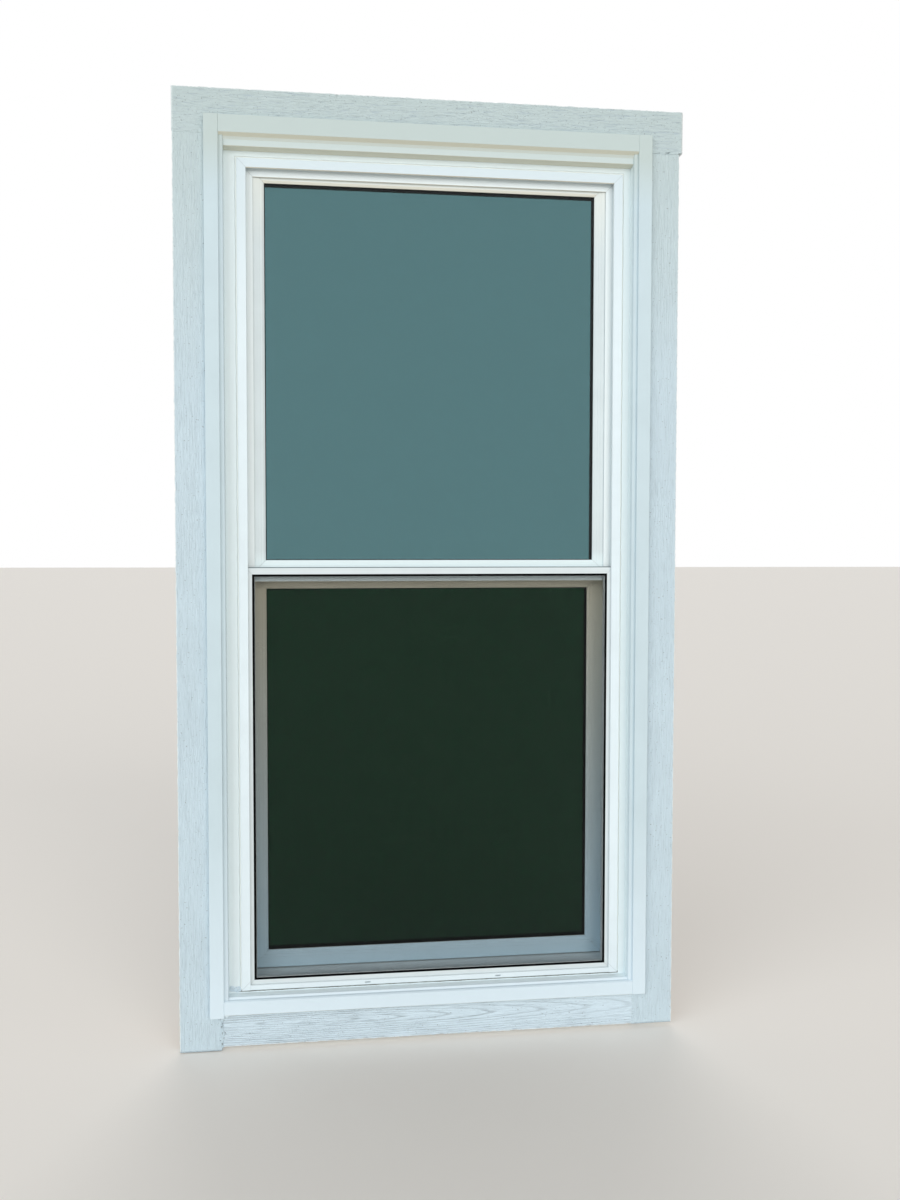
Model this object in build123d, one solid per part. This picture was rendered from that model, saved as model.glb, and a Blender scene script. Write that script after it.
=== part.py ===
from build123d import *
import os

# Double-hung sash window with its frame, exterior trim, painted casing boards and half screen.
# Millimetres. The origin is the middle of the sill's flat underside, +Z is up, the outside is -Y
# and +X is to the right as seen from outside. Depths are measured inward from the wall's outer face.

# Window frame
frame_width = 902.0
frame_height = 1816.0
wall = 2.0
nose_width = 18.7
nose_proud = 6.0
nose_inset = 42.0
nose_back = 0.6
nose_wall = 1.6
fin_reach = 13.3
fin_thickness = 2.2
corner_round = 1.0
edge_round = 0.8
upper_track_inset = 63.0
head_roof_drop = 49.0
pocket_width = 28.0
pocket_slot = 8.0
sill_nose_low = 41.7
sill_nose_high = 52.0
sill_slope_front = 59.0
sill_slope_back = 64.5
sill_dam_height = 78.0
sill_dam_thickness = 3.0
sill_dam_clearance = 1.0
sill_deck = 30.0
weep_length = 12.0
weep_height = 2.5
weep_place = 142.0
fixing_radius = 2.5
fixing_depth = 45.0
fixing_drop = 166.0
fixing_spacing = 550.0

# Half screen
screen_bar_width = 21.0
screen_thickness = 8.0
screen_lip = 1.7
screen_lip_depth = 1.0
spline_groove = 3.2
spline_groove_depth = 6.0
spline_width = 3.0
spline_top = 1.2
spline_gap = 0.2
screen_skin = 1.2
screen_rise = 1.4
screen_reveal = 0.5
screen_seat_rise = 4.0
screen_seat_gap = 0.4
screen_play = 1.5
screen_edge_round = 0.6
mesh_thickness = 0.4
mesh_ridge = 0.15
mesh_pitch = 12.6
mesh_ridge_share = 0.4
key_leg = 60.0
key_width = 9.0
key_gap = 0.2

# Sashes
sash_thickness = 30.0
sash_gap = 4.0
sash_front_gap = 1.2
side_play = 2.0
head_play = 2.0
web_place = 21.0
glazing_rebate = 15.0
stop_thickness = 4.5
glass_bite = 12.0
pane_thickness = 3.0
spacer_sight = 1.5
block_length = 60.0
upper_rail_width = 32.0
meeting_rail_width = 45.0
meeting_drop = 3.0
meeting_overlap = 29.0
lower_stile_width = 42.0
lower_rail_width = 36.9
lower_sash_rise = 66.5
finger_lift_reach = 6.0
finger_lift_drop = 9.0
finger_lift_thickness = 5.0
finger_lift_inset = 20.0
finger_lift_round = 1.5
seal_groove = 1.5
seal_width = 5.0
seal_set_back = 5.0
seal_clearance = 0.3
hook_thickness = 0.8
hook_clearance = 0.4
hook_lip = 8.0
hook_place = 3.0
hook_inset = 10.0

# Glazing beads
bead_depth = 6.5
bead_set_back = 0.6
bead_land = 9.0
bead_step = 1.4
bead_shelf = 4.5
bead_edge = 4.2
bead_round = 0.5

# Balances, pivots and tilt latches
lower_stop = 111.0
shoe_length = 50.0
shoe_depth = 26.0
shoe_rise = 2.0
shoe_round = 2.0
shoe_clearance = 1.0
pocket_spare = 4.0
pivot_bar = 6.0
pivot_hold = 14.0
pivot_reach = 13.0
pivot_clearance = 0.2
pivot_end_clearance = 1.0
coil_length = 60.0
coil_depth = 24.0
coil_inset = 6.0
coil_round = 4.0
lower_coil_clearance = 51.5
upper_coil_clearance = 43.0
ribbon_thickness = 0.5
ribbon_width = 12.0
ribbon_gap = 0.3
ribbon_low = 12.0
ribbon_wrap = 20.0
bolt_width = 7.0
bolt_height = 6.0
bolt_nose = 8.0
bolt_length = 72.0
bolt_bevel = 2.0
bolt_drop = 12.0
bolt_clearance = 0.5
bolt_hole_depth = 12.0
latch_travel = 8.5
tab_length = 10.0
tab_set_back = 4.0
tab_inset = 1.0
upper_tab_height = 1.2
lower_tab_height = 3.0

# Locks
lock_place = 190.0
lock_set_back = 8.0
case_length = 58.0
case_width = 25.0
case_height = 9.0
case_front = 5.0
case_corner = 6.0
case_edge = 2.0
spindle_radius = 4.0
spindle_clearance = 0.3
spindle_bore = 5.0
cam_reach = 15.5
cam_width = 8.0
cam_thickness = 4.0
cam_drop = 7.5
cam_round = 3.0
lever_reach = 38.0
lever_width = 11.0
lever_thickness = 5.0
lever_gap = 0.3
lever_round = 4.5
lever_edge = 1.2
lever_boss = 1.5
lock_sweep = 150.0
keeper_lead = 20.0
keeper_length = 36.0
keeper_height = 14.0
keeper_thickness = 1.8
keeper_gap = 0.1
cam_window_left = 16.0
cam_window_right = 6.0
cam_window_height = 7.0

# Exterior trim
unit_offset = 3.8
trim_lap_side = 19.0
trim_lap_head = 34.0
trim_proud = 28.0
trim_face_side = 29.5
trim_face_head = 35.0
trim_face_sill = 28.0
trim_wall = 2.0
trim_web_depth = 13.0
trim_step_width = 9.0
trim_step_depth = 5.0
trim_edge_round = 1.5
trim_step_round = 2.5
trim_leg = 2.0
trim_left_drop = 5.0
head_soffit = 26.5
head_cove = ((23.5, 10.0), (11.6, 9.0), (6.0, 6.5))
sill_shelf = 8.0
sill_steps = ((6.5, 10.0), (2.5, 8.0), (2.0, 3.0))
sealant_gap = 1.0
sealant_size = 3.0
sealant_waist = 0.4
sealant_scoop = 1.0

# Casing boards
board_width = 89.0
board_thickness = 19.0
board_lap_side = 25.0
board_lap_head = 32.0
board_lap_sill = 18.0
board_clearance = 0.5
board_edge_round = 1.5
header_overhang = 6.0
left_leg_drop = 7.0

# Places worked out from the sizes above
overrun = 1.0
frame_half = frame_width / 2
nose_outer = frame_half - nose_inset
nose_inner = nose_outer - nose_width
nose_top = frame_height - nose_inset
fin_tip = nose_inner - fin_reach
screen_track_back = screen_thickness + nose_back
fin_back = screen_track_back + fin_thickness
upper_front = fin_back + sash_front_gap
lower_front = upper_front + sash_thickness + sash_gap
frame_depth = lower_front + sash_thickness + sill_dam_clearance + sill_dam_thickness
wall_y = -frame_depth / 2
upper_mid = upper_front + sash_thickness / 2
lower_mid = lower_front + sash_thickness / 2
track_step = upper_front + sash_thickness + sash_gap / 2
upper_track = frame_half - upper_track_inset
upper_half = upper_track - side_play
glass_half_width = upper_half - upper_rail_width
lower_half = glass_half_width + lower_stile_width
lower_track = lower_half + side_play
upper_roof = frame_height - head_roof_drop
upper_low = frame_height / 2 - meeting_drop
lower_high = upper_low + meeting_overlap
upper_sash = (upper_half, upper_low, upper_roof - head_play)
lower_sash = (lower_half, lower_sash_rise, lower_high)
upper_glass = (glass_half_width, upper_low + meeting_rail_width, upper_sash[2] - upper_rail_width)
lower_glass = (glass_half_width, lower_sash_rise + lower_rail_width, lower_high - meeting_rail_width)
lower_travel = upper_sash[2] - lower_high - lower_stop
lower_coil_bottom = lower_sash_rise + shoe_rise + shoe_length + lower_travel + lower_coil_clearance
upper_coil_bottom = upper_low + shoe_rise + shoe_length + upper_coil_clearance
cam_z = lower_high - cam_drop - cam_thickness / 2
lock_depth = lower_front + lock_set_back
screen_seat = sill_nose_low + screen_seat_rise
screen_low = screen_seat + screen_seat_gap
screen_top = lower_high + screen_rise
screen_half = fin_tip - screen_reveal + screen_bar_width
screen_outer = (screen_half, screen_low, screen_top)
screen_inner = (fin_tip - screen_reveal, screen_low + screen_bar_width, screen_top - screen_bar_width)
screen_track = screen_half + screen_play
trim_outer = frame_half + trim_lap_side
trim_height = frame_height + trim_lap_head
board_inner = trim_outer - board_lap_side
board_outer = board_inner + board_width
header_low = trim_height - board_lap_head
header_top = header_low + board_width
board_bottom = board_lap_sill - board_width
frame_opening = (fin_tip, 0.0, frame_height - (frame_half - fin_tip))
frame_outer = (frame_half, 0.0, frame_height)
cut_reach = frame_depth * 4


def outline(points, rounds=(), holes=()):
    """Flat face from its corner points, with some corners rounded and some regions cut out"""
    face = Sketch() + make_face(Polyline(*points, close=True))
    for number, radius in rounds:
        corner = face.vertices().sort_by_distance(Vector(*points[number]))[0]
        face = fillet(corner, radius)
    for hole in holes:
        face -= make_face(Polyline(*hole, close=True))
    return face


def upright(face, low, high):
    """Solid with an (x, depth) section, standing between two heights"""
    return extrude(Plane.XY.offset(low) * Pos(0, wall_y) * face, amount=high - low)


def crosswise(face, left, right):
    """Solid with a (height, depth) section, lying between two places across"""
    plane = Plane(origin=(right, 0, 0), x_dir=(0, 0, 1), z_dir=(-1, 0, 0))
    return extrude(plane * Pos(0, wall_y) * face, amount=right - left)


def slab(corners):
    """Prism through the whole depth, from corner points given as across and height"""
    return extrude(Plane.XZ * make_face(Polyline(*corners, close=True)), amount=cut_reach, both=True)


def block(x, depth, z):
    """Box between pairs of places across, in depth and in height"""
    size = (x[1] - x[0], depth[1] - depth[0], z[1] - z[0])
    centre = (sum(x) / 2, wall_y + sum(depth) / 2, sum(z) / 2)
    return Pos(*centre) * Box(*size)


def around(middle, size):
    """Pair of places either side of a middle"""
    return (middle - size / 2, middle + size / 2)


def mitred(side, opening, outer):
    """Region of one side of a rectangular ring, cut corner to corner"""
    (ih, il, it), (oh, ol, ot) = opening, outer
    regions = {
        "top": [(-ih, it), (ih, it), (oh, ot), (-oh, ot)],
        "bottom": [(-ih, il), (ih, il), (oh, ol), (-oh, ol)],
        "left": [(-ih, il), (-ih, it), (-oh, ot), (-oh, ol)],
        "right": [(ih, il), (ih, it), (oh, ot), (oh, ol)],
    }
    return slab(regions[side])


def ring_bar(side, points, opening, outer, front, rounds=(), holes=()):
    """One mitred bar of a ring. Section points are outward from the opening, and in depth."""
    half, low, high = opening

    def place(point):
        across = {"right": half, "top": high, "left": -half, "bottom": low}[side]
        sign = 1 if side in ("right", "top") else -1
        return (across + sign * point[0], front + point[1])

    face = outline([place(p) for p in points], rounds, [[place(p) for p in hole] for hole in holes])
    oh, ol, ot = outer
    if side in ("left", "right"):
        bar = upright(face, ol - overrun, ot + overrun)
    else:
        bar = crosswise(face, -oh - overrun, oh + overrun)
    return bar & mitred(side, opening, outer)


def ring(points, opening, outer, front, rounds=()):
    """All four mitred bars of a ring as separate solids"""
    sides = ("top", "bottom", "left", "right")
    return Compound(children=[ring_bar(s, points, opening, outer, front, rounds).solids()[0] for s in sides])


def rectangle(a, b, c, d):
    """Corner points of a rectangle between a and b one way and c and d the other"""
    return [(a, c), (b, c), (b, d), (a, d)]


def both_sides(solid):
    """The solid and its mirror image on the left"""
    return Compound(children=[*solid.solids(), *mirror(solid, about=Plane.YZ).solids()])


def jamb_points():
    """Outline of the jamb extrusion, seen from above on the right side"""
    return [
        (frame_half, frame_depth), (frame_half, 0), (nose_outer, 0), (nose_outer, -nose_proud),
        (nose_inner, -nose_proud), (nose_inner, -nose_back), (screen_track, -nose_back),
        (screen_track, screen_track_back), (fin_tip, screen_track_back), (fin_tip, fin_back),
        (upper_track, fin_back), (upper_track, track_step), (lower_track, track_step),
        (lower_track, frame_depth),
    ]


def nose_and_fin_rounds():
    """Corners of the frame section that are rounded, by their number in its outline"""
    return [(3, corner_round), (4, corner_round), (8, edge_round), (9, edge_round)]


def jamb_right():
    """Right jamb: hollow, with a screen track, two sash tracks and a slotted balance pocket in each"""
    outer_wall = frame_half - wall
    upper_pocket, lower_pocket = upper_track + wall, lower_track + wall
    upper_pocket_end, lower_pocket_end = upper_pocket + pocket_width, lower_pocket + pocket_width
    front_room = (fin_back + wall, track_step - wall)
    back_room = (track_step + wall, frame_depth - wall)
    holes = [
        rectangle(nose_inner + wall, nose_outer - wall, -nose_proud + nose_wall, -nose_back - nose_wall),
        rectangle(screen_track + wall, outer_wall, wall, fin_back),
        rectangle(upper_pocket, upper_pocket_end, *front_room),
        rectangle(upper_pocket_end + wall, outer_wall, *front_room),
        rectangle(lower_pocket, lower_pocket_end, *back_room),
        rectangle(lower_pocket_end + wall, outer_wall, *back_room),
        rectangle(upper_track - overrun, upper_pocket + overrun, *around(upper_mid, pocket_slot)),
        rectangle(lower_track - overrun, lower_pocket + overrun, *around(lower_mid, pocket_slot)),
    ]
    jamb = upright(outline(jamb_points(), nose_and_fin_rounds(), holes), 0, frame_height)
    far = frame_half + overrun
    mitre_corner = (fin_tip, frame_opening[2])
    jamb &= slab([(fin_tip, -overrun), mitre_corner, (frame_half, frame_height), (far, frame_height),
                  (far, -overrun)])
    jamb -= block((fin_tip, nose_outer + overrun), (-nose_proud - overrun, 0), (-overrun, sill_nose_low))
    for drop in (fixing_drop, fixing_drop + fixing_spacing):
        spot = Pos(frame_half, wall_y + lower_mid, frame_height - drop) * Rot(0, 90, 0)
        jamb -= spot * Cylinder(fixing_radius, 2 * fixing_depth)
    return jamb


def frame_head():
    """Head extrusion, mitred to the jambs, with a taller pocket above each sash"""
    nose_low = nose_top - nose_width
    fin_low = nose_low - fin_reach
    track_roof = nose_low + (screen_track - nose_inner)
    points = [
        (frame_height, frame_depth), (frame_height, 0), (nose_top, 0), (nose_top, -nose_proud),
        (nose_low, -nose_proud), (nose_low, -nose_back), (track_roof, -nose_back),
        (track_roof, screen_track_back), (fin_low, screen_track_back), (fin_low, fin_back),
        (upper_roof, fin_back), (upper_roof, track_step), (track_roof, track_step),
        (track_roof, frame_depth),
    ]
    deck, top_wall = upper_roof + wall, frame_height - wall
    holes = [
        rectangle(nose_low + wall, nose_top - wall, -nose_proud + nose_wall, -nose_back - nose_wall),
        rectangle(deck, top_wall, wall, fin_back),
        rectangle(deck, top_wall, fin_back + wall, track_step - wall),
        rectangle(deck, top_wall, track_step, frame_depth - wall),
    ]
    head = crosswise(outline(points, nose_and_fin_rounds(), holes), -frame_half, frame_half)
    return head & mitred("top", frame_opening, frame_outer)


def frame_sill():
    """Sloped sill between the jambs, with a screen seat, weep slots and an upstand inside"""
    dam_front = frame_depth - sill_dam_thickness
    points = [
        (0, frame_depth), (0, 0), (sill_nose_low, 0), (sill_nose_low, -nose_proud),
        (sill_nose_high, -nose_proud), (sill_nose_high, -nose_back), (screen_seat, -nose_back),
        (screen_seat, screen_track_back), (sill_slope_front, screen_track_back),
        (sill_slope_back, track_step), (sill_slope_back, dam_front), (sill_dam_height, dam_front),
        (sill_dam_height, frame_depth),
    ]
    rounds = [(3, corner_round), (4, corner_round), (8, edge_round)]
    deck = sill_deck - wall
    middle = frame_depth / 2
    slope_start = screen_track_back + wall
    holes = [
        rectangle(wall, deck, wall, middle - wall / 2),
        rectangle(wall, deck, middle + wall / 2, frame_depth - wall),
        rectangle(sill_deck, screen_seat - wall, wall, slope_start - wall),
        [(sill_deck, slope_start), (sill_slope_front - wall, slope_start),
         (sill_slope_back - wall, track_step - wall), (sill_deck, track_step - wall)],
        rectangle(sill_deck, sill_slope_back - wall, track_step, frame_depth - wall),
    ]
    sill = crosswise(outline(points, rounds, holes), -frame_half, frame_half)
    jamb = upright(outline(jamb_points()), -overrun, sill_dam_height + overrun)
    sill -= jamb
    sill -= mirror(jamb, about=Plane.YZ)
    for place in (-weep_place, weep_place):
        sill -= block(around(place, weep_length), (-nose_proud - overrun, 0),
                      (screen_seat, screen_seat + weep_height))
    return max(sill.solids(), key=lambda solid: solid.volume)


def sash_bar(side, width, opening, outer, front, web=True):
    """Hollow welded sash member with its glazing rebate open to the outside"""
    back = sash_thickness - stop_thickness
    points = [
        (glazing_rebate, 0), (width, 0), (width, sash_thickness), (0, sash_thickness), (0, back),
        (glazing_rebate, back),
    ]
    near, far = glazing_rebate + wall, width - wall
    rooms = [(wall, sash_thickness - wall)]
    if web:
        rooms = [(wall, web_place), (web_place + wall, sash_thickness - wall)]
    holes = [rectangle(near, far, *room) for room in rooms]
    rounds = [(1, corner_round), (2, corner_round), (3, edge_round)]
    return ring_bar(side, points, opening, outer, front, rounds, holes)


def glazing_bead(side, opening, outer_front):
    """Stepped snap-in bead that holds the glass from outside"""
    points = [
        (glazing_rebate, bead_set_back), (bead_land, bead_set_back), (bead_land, bead_step),
        (bead_shelf, bead_step), (0, bead_edge), (0, bead_depth), (glazing_rebate, bead_depth),
    ]
    half, low, high = opening
    outer = (half + glazing_rebate, low - glazing_rebate, high + glazing_rebate)
    return ring_bar(side, points, opening, outer, outer_front, [(1, bead_round)])


def pane(opening, front):
    """One flat sheet of glass"""
    half, low, high = opening
    across = half + glass_bite
    return block((-across, across), (front, front + pane_thickness), (low - glass_bite, high + glass_bite))


def spacer(opening, front, depth):
    """Four mitred lengths of dark edge spacer between the panes"""
    half, low, high = opening
    inner = (half - spacer_sight, low + spacer_sight, high - spacer_sight)
    outer = (half + glass_bite, low - glass_bite, high + glass_bite)
    return ring(rectangle(0, glass_bite + spacer_sight, 0, depth), inner, outer, front)


def setting_blocks(opening, front, depth):
    """Two pads that carry the glass in the bottom rebate"""
    half, low, high = opening
    z = (low - glazing_rebate, low - glass_bite)
    return both_sides(block((half / 2, half / 2 + block_length), (front, front + depth), z))


def seal_depth(front):
    """Front and back of the groove that a sash's seals stand in"""
    return (front + seal_set_back, front + seal_set_back + seal_width)


def pile_seal(half, front, low, high):
    """Pile strip standing in a groove along each stile's outer edge"""
    x = (half - seal_groove, half + side_play - seal_clearance)
    return both_sides(block(x, seal_depth(front), (low, high)))


def seal_slot(half, front):
    """Groove along a stile's outer edge"""
    return block((half - seal_groove, half + overrun), seal_depth(front), (-overrun, frame_height))


def shoe(pocket, middle, bottom):
    """Balance shoe that runs in a jamb pocket and holds the end of a pivot bar"""
    x = (pocket + shoe_clearance, pocket + pocket_width - pocket_spare)
    body = block(x, around(middle, shoe_depth), (bottom, bottom + shoe_length))
    body = fillet(body.edges().filter_by(Axis.Z), shoe_round)
    hold = pivot_bar + 2 * pivot_clearance
    socket_x = (x[0] - overrun, x[0] + pivot_reach + pivot_end_clearance)
    body -= block(socket_x, around(middle, hold), around(bottom + shoe_length / 4, hold))
    return both_sides(body)


def pivot(half, pocket, middle, bottom, clearance=0.0):
    """Square bar from a sash's bottom corner into the shoe, or the hole it passes through"""
    size = pivot_bar + 2 * clearance
    x = (half - pivot_hold, pocket + shoe_clearance + pivot_reach)
    return block(x, around(middle, size), around(bottom + shoe_length / 4, size))


def coil(pocket, middle, bottom):
    """Spring housing fixed in a jamb pocket above the shoe, clear of the latch bolt"""
    x = (pocket + coil_inset, pocket + pocket_width - pocket_spare)
    body = block(x, around(middle, coil_depth), (bottom, bottom + coil_length))
    return both_sides(fillet(body.edges().filter_by(Axis.Y), coil_round))


def ribbon(pocket, middle, low, high):
    """Flat spring tape from the shoe up to its coil"""
    inner = pocket + pocket_width - pocket_spare + ribbon_gap
    return both_sides(block((inner, inner + ribbon_thickness), around(middle, ribbon_width), (low, high)))


def latch_bolt(half, middle, z, tab_high):
    """Right tilt latch bolt: it runs inside the rail, with a thumb tab through the rail's top"""
    x = (half + bolt_nose - bolt_length, half + bolt_nose)
    bolt = block(x, around(middle, bolt_width), (z, z + bolt_height))
    nose = bolt.edges().filter_by(Axis.Y).group_by(Axis.X)[-1].sort_by(Axis.Z)[0]
    bolt = chamfer(nose, bolt_bevel)
    tab_x = (x[0] + tab_set_back, x[0] + tab_set_back + tab_length)
    depth = around(middle, bolt_width - 2 * tab_inset)
    return bolt + block(tab_x, depth, (z + bolt_height - overrun, tab_high))


def latch_cuts(half, middle, z, top):
    """Hole in the stile and slot in the rail's top for the latch bolt"""
    gap = bolt_clearance
    width = bolt_width + 2 * gap
    hole = block((half - bolt_hole_depth, half + overrun), around(middle, width),
                 (z - gap, z + bolt_height + gap))
    start = half + bolt_nose - bolt_length + tab_set_back
    slot_x = (start - latch_travel - gap, start + tab_length + gap)
    slot = block(slot_x, around(middle, width - 2 * tab_inset), (top - wall - overrun, top + overrun))
    return hole + slot


def hook(half, start, direction, low):
    """Interlock strip on a meeting rail: a shelf into the gap, and a lip up or down at its end"""
    far = start + direction * (sash_gap - hook_clearance)
    depth = sorted((start, far))
    lip_depth = sorted((far, far - direction * hook_thickness))
    shelf_z = sorted((low, low + direction * hook_thickness))
    lip_z = sorted((low, low + direction * hook_lip))
    return block((-half, half), depth, shelf_z) + block((-half, half), lip_depth, lip_z)


def cam_window(place, near, far):
    """Slot that lets the lock's cam swing out of one rail and into the other"""
    x = (place - cam_window_left, place + cam_window_right)
    return block(x, (near, far), around(cam_z, cam_window_height))


def left_and_right(cut):
    """A cut for the right side and its mirror image for the left, by side"""
    return {"right": cut, "left": mirror(cut, about=Plane.YZ)}


def upper_members():
    """Rails and stiles of the upper sash"""
    half, low, high = upper_sash
    back = upper_front + sash_thickness
    bars = {}
    for side in ("top", "right", "left"):
        bars[side] = sash_bar(side, upper_rail_width, upper_glass, upper_sash, upper_front, side != "top")
    rail = sash_bar("bottom", meeting_rail_width, upper_glass, upper_sash, upper_front)
    rail += hook(glass_half_width - hook_inset, back, 1, low + hook_place)
    for place in (-lock_place, lock_place):
        rail -= block(keeper_span(place), (back - keeper_thickness - keeper_gap, back + overrun),
                      around(cam_z, keeper_height))
        rail -= cam_window(place, back - wall - overrun, back + overrun)
    latch = left_and_right(latch_cuts(half, upper_mid, high - bolt_drop, high))
    slot = left_and_right(seal_slot(half, upper_front))
    hole = left_and_right(pivot(half, upper_track + wall, upper_mid, low + shoe_rise, pivot_clearance))
    for name in ("right", "left"):
        bars[name] = bars[name] - latch[name] - slot[name] - hole[name]
        bars["top"] = bars["top"] - latch[name] - slot[name]
        rail = rail - hole[name] - slot[name]
    return {"upper_top_rail": bars["top"], "upper_stile_right": bars["right"],
            "upper_stile_left": bars["left"], "upper_meeting_rail": rail}


def finger_lift():
    """Rounded strip along the bottom rail, inside the room"""
    half, low, high = lower_glass
    back = lower_front + sash_thickness
    across = half - finger_lift_inset
    z = (low - finger_lift_drop, low - finger_lift_drop + finger_lift_thickness)
    lift = block((-across, across), (back - overrun, back + finger_lift_reach), z)
    return fillet(lift.edges().filter_by(Axis.X).group_by(Axis.Y)[-1], finger_lift_round)


def lower_members():
    """Rails and stiles of the lower sash, with the finger lift on the bottom rail"""
    half, low, high = lower_sash
    widths = {"top": meeting_rail_width, "bottom": lower_rail_width, "right": lower_stile_width,
              "left": lower_stile_width}
    bars = {}
    for side, width in widths.items():
        bars[side] = sash_bar(side, width, lower_glass, lower_sash, lower_front, side != "top")
    bars["bottom"] += finger_lift()
    hook_high = upper_low + 2 * hook_place + hook_thickness + hook_lip
    bars["top"] += hook(glass_half_width - hook_inset, lower_front, -1, hook_high)
    for place in (-lock_place, lock_place):
        bars["top"] -= cam_window(place, lower_front - overrun, lower_front + wall + overrun)
        spot = Pos(place, wall_y + lock_depth, high)
        bars["top"] -= spot * Cylinder(spindle_radius + spindle_clearance, 2 * spindle_bore)
    bars["bottom"] -= block((-half, half), seal_depth(lower_front), (low - overrun, low + seal_groove))
    latch = left_and_right(latch_cuts(half, lower_mid, high - bolt_drop, high))
    slot = left_and_right(seal_slot(half, lower_front))
    hole = left_and_right(pivot(half, lower_track + wall, lower_mid, low + shoe_rise, pivot_clearance))
    for name in ("right", "left"):
        for bar in bars:
            bars[bar] -= slot[name]
        bars[name] = bars[name] - latch[name] - hole[name]
        bars["top"] -= latch[name]
        bars["bottom"] -= hole[name]
    return {"lower_top_rail": bars["top"], "lower_bottom_rail": bars["bottom"],
            "lower_stile_right": bars["right"], "lower_stile_left": bars["left"]}


def lock_case(place):
    """Housing of one cam lock on top of the lower sash"""
    centre = lock_depth + case_width / 2 - case_front
    box = block(around(place, case_length), around(centre, case_width),
                (lower_high, lower_high + case_height))
    box = fillet(box.edges().filter_by(Axis.Z), case_corner)
    box = fillet(box.edges().group_by(Axis.Z)[-1], case_edge)
    spot = Pos(place, wall_y + lock_depth, lower_high)
    return box - spot * Cylinder(spindle_radius + spindle_clearance, 2 * (case_height + overrun))


def lock_lever(place):
    """Lever, spindle and cam of one lock, shown unlocked"""
    arm_low = lower_high + case_height + lever_gap
    cam_low = cam_z - cam_thickness / 2
    spot = Pos(place, wall_y + lock_depth, 0)
    height = arm_low - cam_low
    spindle = spot * Pos(0, 0, cam_low + height / 2) * Cylinder(spindle_radius, height)
    arm = Pos(lever_reach / 2, 0, 0) * Box(lever_reach, lever_width, lever_thickness)
    arm = fillet(arm.edges().filter_by(Axis.Z), lever_round)
    arm = fillet(arm.edges().group_by(Axis.Z)[-1], lever_edge)
    boss = Cylinder(lever_width / 2 + lever_boss, lever_thickness)
    arm += fillet(boss.edges().group_by(Axis.Z)[-1], lever_edge)
    arm_turn = Rot(0, 0, (180 - lock_sweep) / 2)
    cam = Pos(cam_reach / 2, 0, 0) * Box(cam_reach, cam_width, cam_thickness)
    cam = fillet(cam.edges().filter_by(Axis.Z).group_by(Axis.X)[-1], cam_round)
    cam_turn = Rot(0, 0, 270 - lock_sweep)
    lever = spindle + spot * Pos(0, 0, arm_low + lever_thickness / 2) * arm_turn * arm
    return lever + spot * Pos(0, 0, cam_z) * cam_turn * cam


def keeper_span(place):
    """Ends of the keeper that serves the lock at this place"""
    return (place - keeper_lead, place - keeper_lead + keeper_length)


def keepers():
    """Plates set flush into the upper meeting rail, each with a window for the cam"""
    back = upper_front + sash_thickness
    plates = []
    for place in (-lock_place, lock_place):
        plate = block(keeper_span(place), (back - keeper_thickness - keeper_gap, back - keeper_gap),
                      around(cam_z, keeper_height))
        window = cam_window(place, back - keeper_thickness - overrun, back + overrun)
        plates.append((plate - window).solids()[0])
    return Compound(children=plates)


def screen_bar(side):
    """Rolled bar of the half screen, with the spline groove near its inner edge"""
    groove = screen_lip + spline_groove
    points = [
        (0, screen_lip_depth), (screen_lip, screen_lip_depth), (screen_lip, spline_groove_depth),
        (groove, spline_groove_depth), (groove, 0), (screen_bar_width, 0),
        (screen_bar_width, screen_thickness), (0, screen_thickness),
    ]
    skin = screen_skin
    hole = rectangle(groove + skin, screen_bar_width - skin, skin, screen_thickness - skin)
    rounds = [(4, screen_edge_round), (5, corner_round), (6, corner_round)]
    return ring_bar(side, points, screen_inner, screen_outer, 0, rounds, [hole])


def screen_keys():
    """Angle keys inside the four corners of the screen"""
    half, low, high = screen_outer
    gap = screen_skin + key_gap
    depth = (gap, screen_thickness - gap)
    keys = []
    for sx in (-1, 1):
        corner = sx * (half - gap)
        for edge, sz in ((low + gap, 1), (high - gap, -1)):
            level = (corner - sx * key_leg, corner), (edge, edge + sz * key_width)
            rise = (corner - sx * key_width, corner), (edge, edge + sz * key_leg)
            legs = [block(sorted(x), depth, sorted(z)) for x, z in (level, rise)]
            keys.append((legs[0] + legs[1]).solids()[0])
    return Compound(children=keys)


def screen_spline():
    """Four lengths of round-topped spline in the groove"""
    start = screen_lip + (spline_groove - spline_width) / 2
    edge = start + spline_width
    points = rectangle(start, edge, spline_top, spline_groove_depth - spline_gap)
    half, low, high = screen_inner
    outer = (half + edge, low - edge, high + edge)
    return ring(points, screen_inner, outer, 0, [(0, spline_top), (1, spline_top)])


def comb(low, high, base, ridge):
    """Outline of a thin sheet with evenly spaced ridges on one face"""
    count = round((high - low) / mesh_pitch)
    pitch = (high - low) / count
    width = pitch * mesh_ridge_share
    points = [(low, 0), (low, base)]
    for number in range(count):
        start = low + pitch * number + (pitch - width) / 2
        points += [(start, base), (start, ridge), (start + width, ridge), (start + width, base)]
    return [*points, (high, base), (high, 0)]


def screen_mesh():
    """Insect mesh stretched over the lips: upright ridges outside, level ridges inside"""
    half, low, high = screen_inner
    edge = screen_lip
    middle = mesh_thickness / 2
    centre = screen_lip_depth - mesh_thickness / 2
    across = comb(-half - edge, half + edge, middle - mesh_ridge, middle)
    up = comb(low - edge, high + edge, middle - mesh_ridge, middle)
    outer = upright(outline([(x, centre - d) for x, d in across]), low - edge, high + edge)
    inner = crosswise(outline([(z, centre + d) for z, d in up]), -half - edge, half + edge)
    return outer + inner


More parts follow.
